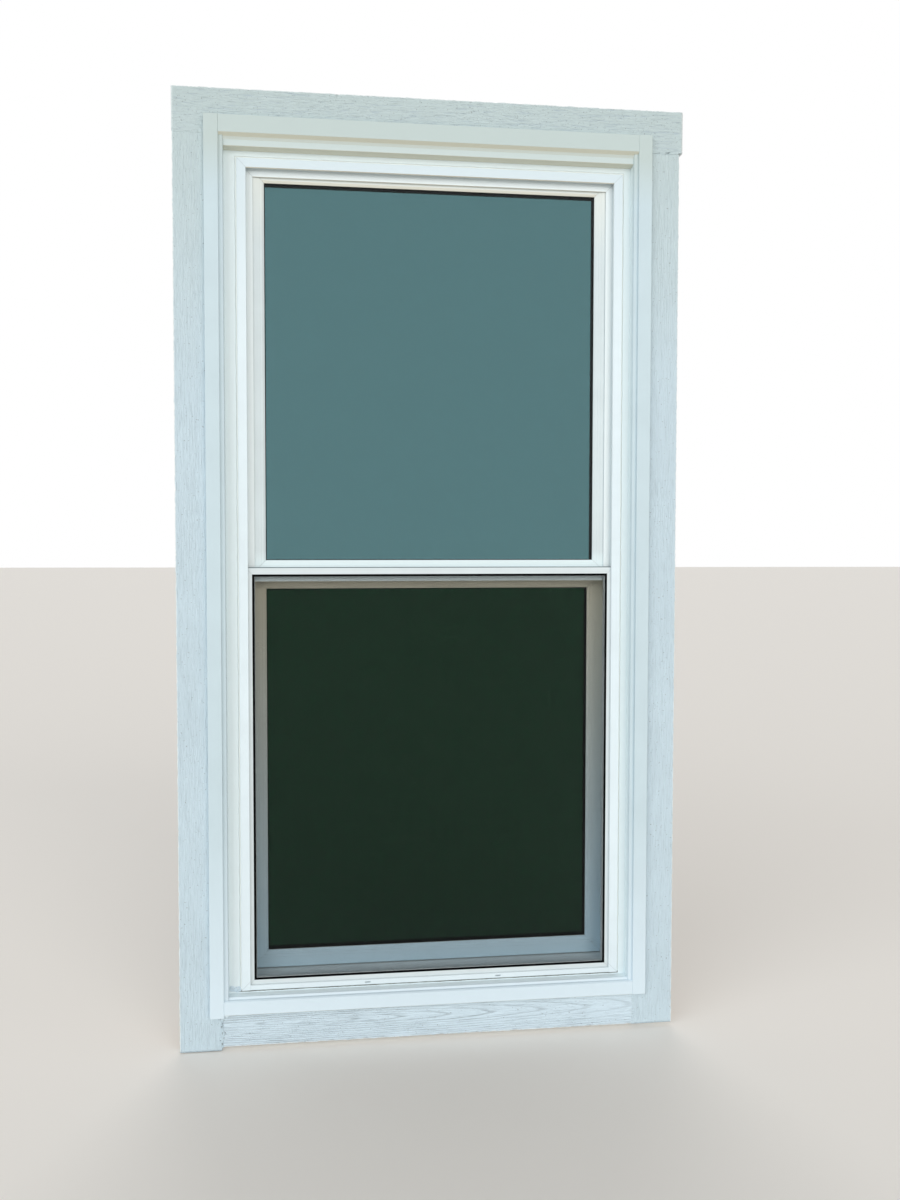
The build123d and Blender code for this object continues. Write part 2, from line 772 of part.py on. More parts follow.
def trim_side(sign):
    """Tall side piece of the trim: flat face, a small step, then a return to the frame"""
    outer = sign * trim_outer - unit_offset
    face = sign * (trim_outer - trim_face_side) - unit_offset
    inner = face - sign * trim_step_width
    back = sign * (board_inner - board_clearance) - unit_offset
    leg_end = sign * (nose_outer + sealant_gap)
    front, board = -trim_proud, -board_thickness
    step = front + trim_step_depth
    points = [
        (outer, front), (outer, board), (back, board), (back, 0), (leg_end, 0), (leg_end, -trim_leg),
        (inner, -trim_leg), (inner, step), (face, step), (face, front),
    ]
    skin = sign * trim_wall
    holes = [
        rectangle(back + skin / 2, outer - skin, front + trim_wall, board - trim_wall),
        rectangle(inner + skin, back - skin, step + trim_wall, -trim_wall),
    ]
    rounds = [(0, trim_edge_round), (7, trim_step_round), (9, trim_edge_round)]
    return points, outline(points, rounds, holes)


def head_trim_face(back):
    """Section of the head trim: flat face, a cove under it, then a soffit back to the frame"""
    front, board = -trim_proud, -board_thickness
    low = trim_height - trim_face_head
    cove = [(low - down, front + inward) for down, inward in head_cove]
    leg_end = nose_top + sealant_gap
    points = [
        (trim_height, front), (trim_height, board), (back, board), (back, 0), (leg_end, 0),
        (leg_end, -trim_leg), (low - head_soffit, -trim_leg), *cove, (low, front),
    ]
    web, soffit = front + trim_web_depth, -2 * trim_wall
    holes = [
        rectangle(back + trim_wall / 2, trim_height - trim_wall, front + trim_wall, board - trim_wall),
        [(cove[0][0] + trim_wall, web), (cove[0][0] - trim_wall / 4, soffit), (back - trim_wall, soffit),
         (back - trim_wall, web)],
    ]
    rounds = [(0, trim_edge_round), (7, trim_wall), (8, trim_wall), (9, 2 * trim_wall),
              (10, trim_edge_round)]
    return outline(points, rounds, holes)


def sill_trim_face(ledge):
    """Section of the sill trim: flat face, a narrow groove and ledge, then a shelf to the frame"""
    front, board = -trim_proud, -board_thickness
    low = trim_face_sill
    steps = [(low + up, front + inward) for up, inward in sill_steps]
    leg_end = sill_nose_low - sealant_gap
    points = [
        (0, front), (0, board), (ledge, board), (ledge, 0), (leg_end, 0), (leg_end, -trim_leg),
        (low + sill_shelf, -trim_leg), *steps, (low, front),
    ]
    web, shelf = front + trim_web_depth, -2 * trim_wall
    holes = [
        rectangle(trim_wall, ledge - trim_wall / 2, front + trim_wall, board - trim_wall),
        rectangle(ledge + trim_wall, low + 2 * trim_wall, web, shelf),
    ]
    rounds = [(0, trim_edge_round), (7, trim_edge_round), (9, edge_round), (10, edge_round)]
    return outline(points, rounds, holes)


def trims():
    """Side pieces run the full height, and the head and sill pieces fit between them"""
    left_points, left = trim_side(-1)
    right_points, right = trim_side(1)
    back = header_low - board_clearance
    ledge = board_lap_sill + board_clearance
    span = trim_outer + unit_offset
    bottom = -trim_left_drop
    behind = (-board_thickness, overrun)
    clear = block((-span, span), behind, (back, trim_height + overrun))
    clear += block((-span, span), behind, (bottom - overrun, ledge))
    solids = {"trim_left": upright(left, bottom, trim_height) - clear,
              "trim_right": upright(right, 0, trim_height) - clear}
    sides = [upright(outline(p), bottom - overrun, trim_height + overrun)
             for p in (left_points, right_points)]
    for name, face in (("trim_head", head_trim_face(back)), ("trim_sill", sill_trim_face(ledge))):
        piece = crosswise(face, -span, span)
        for side in sides:
            piece -= side
        solids[name] = max(piece.solids(), key=lambda solid: solid.volume)
    return solids


def sealant():
    """Tooled bead in the corner between the trim and the frame's nose, on all four sides"""
    leg, gap = -trim_leg, sealant_gap
    far = sealant_size + gap
    points = [(0, 0), (gap, 0), (gap, leg), (far, leg), (gap + sealant_waist, leg - sealant_scoop),
              (0, leg - sealant_size)]
    opening = (nose_outer, sill_nose_low, nose_top)
    outer = (nose_outer + far, sill_nose_low - far, nose_top + far)
    return ring(points, opening, outer, 0)


def board(x, z):
    """Painted board with eased front edges"""
    plank = block(x, (-board_thickness, 0), z)
    front = plank.edges().group_by(Axis.Y)[0]
    return fillet(front, board_edge_round)


def casing():
    """Header board over the legs, and a bottom board between them"""
    left, right = -board_outer - unit_offset, board_outer - unit_offset
    left_inner, right_inner = left + board_width, right - board_width
    return {
        "casing_head": board((left, right + header_overhang), (header_low, header_top)),
        "casing_left": board((left, left_inner), (board_bottom - left_leg_drop, header_low)),
        "casing_right": board((right_inner, right), (board_bottom, header_low)),
        "casing_sill": board((left_inner, right_inner), (board_bottom, board_lap_sill)),
    }


def glazing(name, opening, front):
    """Beads, panes, spacer and setting blocks of one sash"""
    outside = front + bead_depth
    inside = front + sash_thickness - stop_thickness - pane_thickness
    between = outside + pane_thickness
    pairs = {"side": ("left", "right"), "rail": ("top", "bottom")}
    pieces = {}
    for kind, sides in pairs.items():
        beads = [glazing_bead(side, opening, front).solids()[0] for side in sides]
        pieces[f"{name}_{kind}_beads"] = Compound(children=beads)
    pieces[f"{name}_outer_pane"] = pane(opening, outside)
    pieces[f"{name}_inner_pane"] = pane(opening, inside)
    pieces[f"{name}_glass_spacer"] = spacer(opening, between, inside - between)
    pieces[f"{name}_setting_blocks"] = setting_blocks(opening, outside, inside + pane_thickness - outside)
    return pieces


def running_gear(name, sash, track, front, coil_bottom):
    """Pile seals, shoes, pivot bars, coils and ribbons of one sash"""
    half, low, high = sash
    pocket, middle = track + wall, front + sash_thickness / 2
    bottom = low + shoe_rise
    return {
        f"{name}_pile_seals": pile_seal(half, front, low, high),
        f"{name}_balance_shoes": shoe(pocket, middle, bottom),
        f"{name}_pivot_bars": both_sides(pivot(half, pocket, middle, bottom)),
        f"{name}_balance_coils": coil(pocket, middle, coil_bottom),
        f"{name}_balance_ribbons": ribbon(pocket, middle, low + ribbon_low, coil_bottom + ribbon_wrap),
    }


def latches(name, sash, front, tab_height):
    """Left and right tilt latch bolts of one sash"""
    half, low, high = sash
    right = latch_bolt(half, front + sash_thickness / 2, high - bolt_drop, high + tab_height)
    return {f"{name}_latch_right": right, f"{name}_latch_left": mirror(right, about=Plane.YZ)}


def bottom_seal():
    """Strip under the lower sash that meets the sill"""
    half, low, high = lower_sash
    across = half - seal_groove - overrun
    z = (sill_slope_back + seal_clearance, low + seal_groove)
    return block((-across, across), seal_depth(lower_front), z)


def build():
    """Every node of the window by name"""
    right_jamb = jamb_right()
    nodes = {"frame_head": frame_head(), "frame_sill": frame_sill(), "frame_jamb_right": right_jamb,
             "frame_jamb_left": mirror(right_jamb, about=Plane.YZ)}
    nodes.update(casing())
    nodes.update(trims())
    nodes["trim_sealant"] = sealant()
    for side in ("top", "bottom", "left", "right"):
        nodes[f"screen_bar_{side}"] = screen_bar(side)
    nodes["screen_corner_keys"] = screen_keys()
    nodes["screen_spline"] = screen_spline()
    nodes["screen_mesh"] = screen_mesh()
    nodes.update(upper_members())
    nodes.update(lower_members())
    nodes.update(glazing("upper", upper_glass, upper_front))
    nodes.update(glazing("lower", lower_glass, lower_front))
    nodes.update(running_gear("upper", upper_sash, upper_track, upper_front, upper_coil_bottom))
    nodes.update(running_gear("lower", lower_sash, lower_track, lower_front, lower_coil_bottom))
    nodes.update(latches("upper", upper_sash, upper_front, upper_tab_height))
    nodes.update(latches("lower", lower_sash, lower_front, lower_tab_height))
    nodes["lower_bottom_seal"] = bottom_seal()
    nodes["lock_keepers"] = keepers()
    for name, place in (("left", -lock_place), ("right", lock_place)):
        nodes[f"lock_case_{name}"] = lock_case(place)
        nodes[f"lock_lever_{name}"] = lock_lever(place)
    return nodes


os.makedirs("parts", exist_ok=True)
for node, shape in build().items():
    export_step(shape, f"parts/{node}.step")
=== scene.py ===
import math

import bpy
from mathutils import Matrix, Vector, noise


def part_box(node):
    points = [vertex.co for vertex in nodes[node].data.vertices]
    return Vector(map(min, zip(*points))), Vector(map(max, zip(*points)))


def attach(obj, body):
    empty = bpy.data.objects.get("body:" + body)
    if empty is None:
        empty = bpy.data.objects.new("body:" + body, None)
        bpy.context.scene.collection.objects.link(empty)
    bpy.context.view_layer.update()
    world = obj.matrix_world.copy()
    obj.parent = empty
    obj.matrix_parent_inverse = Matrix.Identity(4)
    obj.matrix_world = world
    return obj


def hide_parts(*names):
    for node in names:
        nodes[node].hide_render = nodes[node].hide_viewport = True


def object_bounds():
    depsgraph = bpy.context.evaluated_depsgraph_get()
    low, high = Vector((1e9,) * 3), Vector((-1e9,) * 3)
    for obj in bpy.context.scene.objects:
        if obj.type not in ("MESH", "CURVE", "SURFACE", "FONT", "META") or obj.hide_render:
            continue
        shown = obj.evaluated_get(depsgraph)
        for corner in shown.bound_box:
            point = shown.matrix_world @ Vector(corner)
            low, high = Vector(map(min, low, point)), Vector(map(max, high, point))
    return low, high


MM = 0.001
X, Y, Z = 0, 1, 2

# Sockets of the node that mixes colours: two in and one out
COLOUR_A, COLOUR_B, MIXED = 6, 7, 2

# Camera, as fitted to the photograph: pixels, metres and degrees
PHOTO_WIDTH = 900
PHOTO_HEIGHT = 1200
FOCAL_PIXELS = 927.6
CENTRE_RIGHT = -59.1
CENTRE_UP = 9.8
CAMERA_PLACE = (-305.8 * MM, -1995.6 * MM, 955.1 * MM)
CAMERA_PITCH = -2.008
CAMERA_ROLL = 0.055
CAMERA_YAW = 6.271
SENSOR = 36.0

# Studio
FLOOR_SIZE = 300.0
FLOOR_DROP = 2 * MM
LAMP_SPREAD = 50
LAMP_TARGET = (0, 0, 0.9)
WORLD_LIGHT = 0.46
WORLD_SEEN = 1.0

# Colours, written as sRGB values from 0 to 1
PAINT = (0.805, 0.88, 0.922)
# Paler paint: on the bottom board it is painted light, standing in for the brighter light low down; the
# smeared sealant takes it as its own colour
BRIGHT_PAINT = (0.852, 0.925, 0.972)
# Painted shade: the boards' paint darkened towards the top
HIGH_SHADE_PAINT = (0.745, 0.80, 0.785)
# Painted highlight along the boards' outer edges
HIGHLIGHT_PAINT = (0.93, 0.96, 0.965)
TRIM = (0.765, 0.835, 0.865)
# Painted shade of the trim near the top
TRIM_HIGH_SHADE = (0.715, 0.765, 0.75)
# Painted light of the trim low down
TRIM_LOW_LIGHT = (0.835, 0.895, 0.935)
# Painted light in the trim's recess behind its face
TRIM_RECESS_LIGHT = (0.88, 0.925, 0.935)
# Warm painted bounce light on the trim's undersides
TRIM_UNDERSIDE_LIGHT = (0.815, 0.81, 0.735)
VINYL = (0.862, 0.913, 0.938)
# Painted shade of the frame near the top
VINYL_HIGH_SHADE = (0.81, 0.865, 0.893)
# Painted light in the frame's recess behind its nose
VINYL_RECESS_LIGHT = (0.875, 0.915, 0.927)
# Warm painted bounce light on the frame's undersides
VINYL_UNDERSIDE_LIGHT = (0.95, 0.93, 0.87)
SASH = (0.82, 0.865, 0.88)
# Warm painted light on the upper sash near the top
SASH_HIGH_LIGHT = (0.86, 0.882, 0.868)
# Painted light at the upper sash's meeting rail
MEETING_RAIL_LIGHT = (0.875, 0.935, 0.95)
# Cream tones of the sashes, used as warm painted bounce light
CREAM = (0.90, 0.88, 0.79)
PALE_CREAM = (0.90, 0.89, 0.83)
# Bluish painted light on the lower sash's low outward faces
BLUISH = (0.80, 0.93, 1.0)
SCREEN = (0.83, 0.87, 0.885)
# Painted shadow along the screen's top edge
SCREEN_GAP_SHADE = (0.30, 0.37, 0.39)
CAULK = (0.90, 0.93, 0.925)
# Painted shadow under the sill's nose
NOSE_SHADOW = (0.46, 0.47, 0.45)
BARE_DARK = (0.66, 0.52, 0.38)
BARE_LIGHT = (0.78, 0.66, 0.50)
RUBBER = (0.02, 0.024, 0.027)
PILE = (0.30, 0.31, 0.32)
MESH = (0.09, 0.095, 0.10)
STEEL = (0.72, 0.72, 0.70)
FITTINGS = (0.86, 0.87, 0.86)
FLOOR = (0.93, 0.915, 0.895)

# Colours, written as linear values
PIT = (0.20, 0.23, 0.24, 1.0)
# Pane tints, partly the glass's own tint and partly painted light: the upper pane's pale tint is a painted
# reflection of a bright sky, the lower pane's dark tint painted shade
UPPER_TINT = (0.28, 0.42, 0.435, 1.0)
LOWER_TINT = (0.10, 0.21, 0.15, 1.0)

# Refraction, set low so that the panes mirror little
UPPER_REFRACTION = 1.3
LOWER_REFRACTION = 1.24

# Corner welds: how far from a weld's middle its line is full, and where it has faded
WELD_CORE = 0.3 * MM
WELD_EDGE = 0.9 * MM

# Boards: their form, the roughness of their fronts and the waves in their long edges
BOARD_EDGE = 1.5 * MM
ROUGH_DEPTH = 3 * MM
EDGE_REACH = 3 * MM
EDGE_WAVE = 2.2 * MM
END_ROUND = 2 * MM
END_SINK = 1.2 * MM
# How far in from an outer edge the painted highlight reaches
HIGHLIGHT_WIDTH = 2.6 * MM
PIT_START = 0.5
COARSE_STEPS = (4 * MM, 1.5 * MM)
FINE_STEPS = (2.5 * MM, 1.1 * MM)

# Growth rings of the bottom board
RING_CENTRE = (-0.27, 0, -0.025)
RING_STRETCH = 24.0
RING_PITCH = 4.2 * MM

# Filler over the boards' joints
FLUSH = 0.15 * MM
PROUD = 0.45 * MM
SEAM_STEP = 1.5 * MM
SEAM_COLUMNS = 8
SEAM_DIP = 0.5 * MM
SEAM_DEPTH = 1.6 * MM

# Insect mesh and its spline, whose section is (distance inward, depth) in millimetres
STRAND_RADIUS = 0.15 * MM
UPRIGHT_PITCH = 1.41 * MM
LEVEL_PITCH = 1.59 * MM
SPLINE_SECTION = [(-1.4, 0.1), (-0.7, -0.25), (1.2, -0.35), (3.1, -0.25), (3.8, 0.1), (3.2, 1.4), (0.1, 1.4)]

# Sealant bead round the frame's nose
BEAD_REACH = 4.0 * MM
BEAD_LEG = 2.0 * MM
BEAD_FOOT = 0.95 * MM
BEAD_STEP = 4 * MM
BEAD_ROUNDED_SIDES = (3, 4, 5)


def linear(colour):
    """sRGB colour as the linear values that shaders take"""
    def one(value):
        return value / 12.92 if value <= 0.04045 else ((value + 0.055) / 1.055) ** 2.4
    return tuple(one(c) for c in colour) + (1.0,)


def shaded(colour, share):
    """sRGB colour as linear values, made darker or brighter by a share"""
    return tuple(c * share for c in linear(colour)[:3]) + (1.0,)


def wobble(*place):
    """Smooth noise between about -1 and 1"""
    return noise.noise(Vector(place))


class Nodes:
    """Small helper that builds a material's node tree"""

    def __init__(self, name):
        self.material = bpy.data.materials.new(name)
        self.material.use_nodes = True
        self.tree = self.material.node_tree
        self.shader = self.tree.nodes["Principled BSDF"]
        self.place = self.add("ShaderNodeTexCoord").outputs["Object"]

    def add(self, kind, links=None, **values):
        node = self.tree.nodes.new(kind)
        for key, value in values.items():
            setattr(node, key, value)
        for name, source in (links or {}).items():
            self.feed(node.inputs[name], source)
        return node

    def feed(self, socket, source):
        if isinstance(source, bpy.types.NodeSocket):
            self.tree.links.new(source, socket)
        else:
            socket.default_value = source

    def set(self, **values):
        """Feeds shader sockets by their names, with underscores for spaces"""
        for name, value in values.items():
            title = name.replace("_", " ").title().replace("Ior", "IOR")
            self.feed(self.shader.inputs[title], value)

    def split(self, source=None):
        """The three parts of a vector, which is the place on the object unless another is given"""
        return self.add("ShaderNodeSeparateXYZ", {0: source or self.place}).outputs

    def facing(self, axis):
        """How far the surface looks along an axis, from -1 to 1"""
        return self.split(self.add("ShaderNodeNewGeometry").outputs["Normal"])[axis]

    def stretched(self, x, y, z, source=None):
        """Coordinates scaled differently along each axis"""
        return self.add("ShaderNodeVectorMath", {0: source or self.place, 1: (x, y, z)},
                        operation="MULTIPLY").outputs[0]

    def noise(self, vector, scale, detail=3.0, roughness=0.55):
        return self.add("ShaderNodeTexNoise", {"Vector": vector, "Scale": scale, "Detail": detail,
                                               "Roughness": roughness}).outputs[0]

    def ramp(self, source, low, high, a=0.0, b=1.0):
        """Maps a value's range from low to high onto a to b, and holds it there beyond"""
        return self.add("ShaderNodeMapRange", {"Value": source, "From Min": low, "From Max": high,
                                               "To Min": a, "To Max": b}).outputs[0]

    def math(self, operation, a, b=0.0):
        return self.add("ShaderNodeMath", {0: a, 1: b}, operation=operation).outputs[0]

    def blend(self, share, a, b):
        """Goes from colour a to colour b as the share goes from 0 to 1"""
        links = {0: share, COLOUR_A: a, COLOUR_B: b}
        return self.add("ShaderNodeMix", links, data_type="RGBA").outputs[MIXED]

    def banded(self, base, bands):
        """Blends tones in along an axis: each band is a tone, axis, start, end and share"""
        place = self.split()
        for tone, axis, start, end, share in bands:
            base = self.blend(self.ramp(place[axis], start, end, 0.0, share), base, linear(tone))
        return base

    def bump(self, height, distance, strength=1.0, normal=None):
        links = {"Height": height, "Distance": distance, "Strength": strength}
        if normal is not None:
            links["Normal"] = normal
        return self.add("ShaderNodeBump", links).outputs[0]


def weld_lines(m, welds):
    """1 along the diagonals at the corners and 0 elsewhere"""
    place = m.split()
    side = m.math("ABSOLUTE", place[X])
    line = 0.0
    for slope, offset in welds:
        along = m.math("ADD", side, m.math("MULTIPLY", place[Z], slope))
        gap = m.math("ABSOLUTE", m.math("SUBTRACT", along, offset))
        line = m.math("MAXIMUM", line, m.ramp(gap, WELD_CORE, WELD_EDGE, 1.0, 0.0))
    return line


def moulded(name, colour, roughness, welds=(), bands=(), lit_faces=None):
    """Smooth plastic or paint, with faint lines at its corner welds and bands of other tones that paint light
    and shade

    The last argument paints light and shade onto faces that look against an axis: the axis, the low and high
    tones and their heights
    """
    m = Nodes(name)
    cloud = m.noise(m.place, 14.0, 3.0)
    base = m.blend(m.ramp(cloud, 0.3, 0.7), shaded(colour, 0.94), linear(colour))
    base = m.banded(base, bands)
    normal = m.bump(m.noise(m.place, 900.0, 2.0), 0.02 * MM, 0.5)
    # Painted light and shade on faces that look against the axis, changing with height
    if lit_faces:
        axis, low_tone, high_tone, start, end = lit_faces
        tone = m.blend(m.ramp(m.split()[Z], start, end), linear(low_tone), linear(high_tone))
        base = m.blend(m.ramp(m.facing(axis), -0.3, -0.6, 0.0, 0.85), base, tone)
    if welds:
        line = weld_lines(m, welds)
        base = m.blend(m.math("MULTIPLY", line, 0.45), base, shaded(colour, 0.5))
        normal = m.bump(line, -0.3 * MM, 0.8, normal)
    m.set(base_color=base, normal=normal)
    m.set(roughness=m.ramp(cloud, 0.2, 0.8, roughness - 0.05, roughness + 0.06))
    return m.material


def corner_welds(nodes):
    """Diagonals through the four outer corners of these nodes, as slope and offset over |x| and z"""
    boxes = [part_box(name) for name in nodes]
    half = (max(b[1][X] for b in boxes) - min(b[0][X] for b in boxes)) / 2
    return (-1, half - max(b[1][Z] for b in boxes)), (1, half + min(b[0][Z] for b in boxes))


def frame_vinyl():
    """Frame's plastic, with painted shade near the top, paler and warmer painted light behind its front and
    cream painted bounce light on its high undersides
    """
    # Painted shade near the top and painted light behind the frame's front
    bands = [(VINYL_HIGH_SHADE, Z, 1.5, 1.78, 1.0), (VINYL_RECESS_LIGHT, Y, -45.5 * MM, -44 * MM, 1.0)]
    welds = corner_welds(["frame_head", "frame_sill"])
    # Warm painted bounce light on the undersides near the top
    return moulded("frame_vinyl", VINYL, 0.38, welds, bands, (Z, VINYL, VINYL_UNDERSIDE_LIGHT, 1.0, 1.6))


def upper_sash_vinyl():
    """Upper sash's plastic, with painted light at the meeting rail, warm painted light near the top and cream
    painted bounce light underneath
    """
    # Painted light at the meeting rail and warm painted light near the top
    bands = [(MEETING_RAIL_LIGHT, Z, 0.97, 0.94, 1.0), (SASH_HIGH_LIGHT, Z, 1.6, 1.76, 1.0)]
    welds = corner_welds(["upper_rail_beads", "upper_side_beads"])
    # Cream painted bounce light on the undersides
    return moulded("upper_sash_vinyl", SASH, 0.38, welds, bands, (Z, CREAM, PALE_CREAM, 0.9, 1.8))


def lower_sash_vinyl():
    """Lower sash's plastic, whose outward faces carry painted light, going from bluish at the bottom to cream
    at the top
    """
    welds = corner_welds(["lower_rail_beads", "lower_side_beads"])
    # Painted light on outward faces: bluish at the bottom, cream at the top
    return moulded("lower_sash_vinyl", SASH, 0.38, welds, (), (Y, BLUISH, CREAM, 0.12, 0.88))


def screen_paint(bars):
    """Paint of the screen's bars, with a painted shadow line along the upper edge"""
    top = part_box("screen_bar_top")[1][Z]
    # Painted shadow line along the top bar's upper edge, where it meets the meeting rail
    bands = [(SCREEN_GAP_SHADE, Z, top - 1.9 * MM, top - 1.4 * MM, 1.0)]
    return moulded("screen_paint", SCREEN, 0.4, corner_welds(bars), bands)


def trim_vinyl():
    """Trim's plastic, with painted shade near the top, painted light low down and in its recess, and warm
    painted bounce light on its undersides
    """
    m = Nodes("trim_vinyl")
    cloud = m.noise(m.place, 11.0, 3.0)
    base = m.blend(m.ramp(cloud, 0.3, 0.7), shaded(TRIM, 0.95), linear(TRIM))
    # Painted shade near the top, painted light low down and painted light in the recess behind the trim's
    # face
    base = m.banded(base, [(TRIM_HIGH_SHADE, Z, 1.70, 1.80, 0.75), (TRIM_LOW_LIGHT, Z, 0.4, 0.0, 0.8),
                           (TRIM_RECESS_LIGHT, Y, -62 * MM, -50 * MM, 0.7)])
    # Painted light: undersides warmed as if lit from the ground
    base = m.blend(m.ramp(m.facing(Z), -0.25, -0.75, 0.0, 0.85), base, linear(TRIM_UNDERSIDE_LIGHT))
    m.set(base_color=base, normal=m.bump(m.noise(m.place, 900.0, 2.0), 0.02 * MM, 0.5))
    m.set(roughness=m.ramp(cloud, 0.2, 0.8, 0.4, 0.5))
    return m.material


def sealant():
    """White sealant, with painted shadow in the run under the sill's nose"""
    m = Nodes("caulk")
    cloud = m.noise(m.place, 60.0, 3.0)
    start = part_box("trim_sealant")[0][Z]
    # Painted shadow: the bead's bottom run darkened under the nose
    nose_shadow = m.ramp(m.split()[Z], start + 4.5 * MM, start + 5.5 * MM, 1.0, 0.0)
    nose_shadow = m.math("MULTIPLY", nose_shadow, m.ramp(cloud, 0.3, 0.6, 0.6, 1.0))
    m.set(base_color=m.blend(nose_shadow, linear(CAULK), linear(NOSE_SHADOW)), roughness=0.5)
    m.set(normal=m.bump(cloud, 0.4 * MM, 0.6))
    return m.material


def growth_rings(m, run):
    """Rings of a flat-sawn board, and how strongly they show from place to place"""
    away = m.add("ShaderNodeVectorMath", {0: m.place, 1: RING_CENTRE}, operation="SUBTRACT").outputs[0]
    rings = m.add("ShaderNodeTexWave", {
        "Vector": m.stretched(1 / RING_STRETCH, 0, 1, away), "Scale": math.tau / 20 / RING_PITCH,
        "Distortion": 2.6, "Detail": 3.0, "Detail Scale": 1.3, "Detail Roughness": 0.62},
        wave_type="RINGS", rings_direction="SPHERICAL").outputs[1]
    patchy = m.ramp(m.noise(run, 60.0, 2.0), 0.35, 0.6, 0.4, 1.0)
    faded = m.ramp(m.split()[X], 0.05, 0.42, 1.0, 0.35)
    return rings, m.math("MULTIPLY", patchy, faded)


def painted_wood(name, flow, colour=PAINT, worn=1.0, pitted=0.68, pit_scale=260.0, ringed=False):
    """Rough board under brushed paint, with strokes that are drawn out where its flow is small

    worn is how dark the strokes show, and pitted is the noise value at which pits start
    """
    m = Nodes(name)
    run = m.stretched(*flow)
    strokes = m.noise(run, 420.0, 3.0, 0.6)
    hairs = m.noise(run, 950.0, 3.0, 0.65)
    grit = m.noise(m.place, 700.0, 3.0, 0.6)
    pits = m.ramp(m.noise(m.place, pit_scale, 2.0), pitted, pitted + 0.05)
    cloud = m.noise(m.place, 9.0, 4.0)
    base = m.blend(m.ramp(cloud, 0.3, 0.7), shaded(colour, 0.92), linear(colour))
    # Painted shade: the boards darken towards the top
    base = m.banded(base, [(HIGH_SHADE_PAINT, Z, 1.3, 1.9, 0.85)])
    base = m.blend(m.ramp(grit, 0.3, 0.7, 0.5, 0.0), base, shaded(colour, 0.9))
    base = m.blend(m.ramp(strokes, 0.30, 0.44, 0.8 * worn, 0.0), base, shaded(colour, 0.68))
    base = m.blend(m.ramp(hairs, 0.30, 0.39, 0.6 * worn, 0.0), base, shaded(colour, 0.6))
    normal = m.bump(strokes, 2.6 * MM, 0.9)
    if ringed:
        rings, strength = growth_rings(m, run)
        lines = m.math("MULTIPLY", m.ramp(rings, 0.0, 0.17, 0.95, 0.0), strength)
        base = m.blend(lines, base, shaded(colour, 0.55))
        normal = m.bump(rings, 0.9 * MM, 0.8, normal)
    base = m.blend(m.math("MULTIPLY", pits, 0.7), base, PIT)
    # Painted highlight: paler paint along the boards' outer edges
    edge_highlight = m.add("ShaderNodeAttribute", attribute_name="edge_highlight").outputs["Fac"]
    base = m.blend(edge_highlight, base, linear(HIGHLIGHT_PAINT))
    normal = m.bump(hairs, 0.8 * MM, 0.8, normal)
    m.set(base_color=base, normal=m.bump(grit, 1.4 * MM, 0.9, normal))
    m.set(roughness=m.ramp(strokes, 0.3, 0.7, 0.5, 0.68))
    return m.material


def bare_wood():
    """Unpainted back of a board"""
    m = Nodes("bare_wood")
    rings = m.noise(m.stretched(0.6, 6.0, 0.6), 40.0, 4.0, 0.6)
    m.set(base_color=m.blend(m.ramp(rings, 0.3, 0.7), linear(BARE_DARK), linear(BARE_LIGHT)))
    m.set(roughness=0.8, normal=m.bump(rings, 0.3 * MM, 0.5))
    return m.material


def glass(name, tint, refraction):
    """Clear pane with a tint"""
    m = Nodes(name)
    m.set(base_color=tint, roughness=0.0, ior=refraction, transmission_weight=1.0)
    return m.material


def dark(name, colour, roughness, specular=0.25):
    """Dark rubber, pile or coated strand with a faint unevenness"""
    m = Nodes(name)
    fine = m.noise(m.place, 400.0, 2.0)
    m.set(base_color=m.blend(fine, linear(colour), shaded(colour, 1.25)))
    m.set(roughness=roughness, specular_ior_level=specular, normal=m.bump(fine, 0.05 * MM, 0.4))
    return m.material


def metal(name, colour, roughness):
    """Rolled metal with a directional grain"""
    m = Nodes(name)
    grain = m.noise(m.stretched(40, 40, 900), 1.0, 2.0)
    m.set(base_color=linear(colour), metallic=1.0)
    m.set(roughness=m.ramp(grain, 0.3, 0.7, roughness, roughness + 0.1))
    m.set(normal=m.bump(grain, 0.03 * MM, 0.5))
    return m.material


def node_materials(bars):
    """Materials of the frame, trim, sashes, screen, glass and hardware"""
    return {
        "frame": frame_vinyl(),
        "trim": trim_vinyl(),
        "upper_sash": upper_sash_vinyl(),
        "lower_sash": lower_sash_vinyl(),
        "screen": screen_paint(bars),
        "caulk": sealant(),
        "upper_glass": glass("upper_glass", UPPER_TINT, UPPER_REFRACTION),
        "lower_glass": glass("lower_glass", LOWER_TINT, LOWER_REFRACTION),
        "rubber": dark("rubber", RUBBER, 0.7, 0.06),
        "pile": dark("pile", PILE, 0.9),
        "steel": metal("steel", STEEL, 0.3),
        "fittings": moulded("fittings", FITTINGS, 0.4),
        "mesh": dark("mesh", MESH, 0.5),
    }


def board_paints():
    """Paints of the boards and the filler between them, and the bare wood behind them"""
    return {
        "smeared": painted_wood("smeared_caulk", (1.0, 1.0, 1.0), BRIGHT_PAINT, pitted=0.6, pit_scale=150.0),
        "upright": painted_wood("upright_paint", (1.0, 1.0, 0.05), worn=0.5),
        "level": painted_wood("level_paint", (0.07, 1.0, 1.0), worn=1.15, pitted=0.66, pit_scale=330.0),
        # The bottom board's paler paint is painted light, standing in for the brighter light low down
        "ringed": painted_wood("figured_paint", (0.05, 1.0, 1.0), BRIGHT_PAINT, worn=0.45, ringed=True),
        "cracked": painted_wood("cracked_paint", (1.0, 1.0, 0.4), pitted=0.55, pit_scale=150.0),
        "bare": bare_wood(),
    }


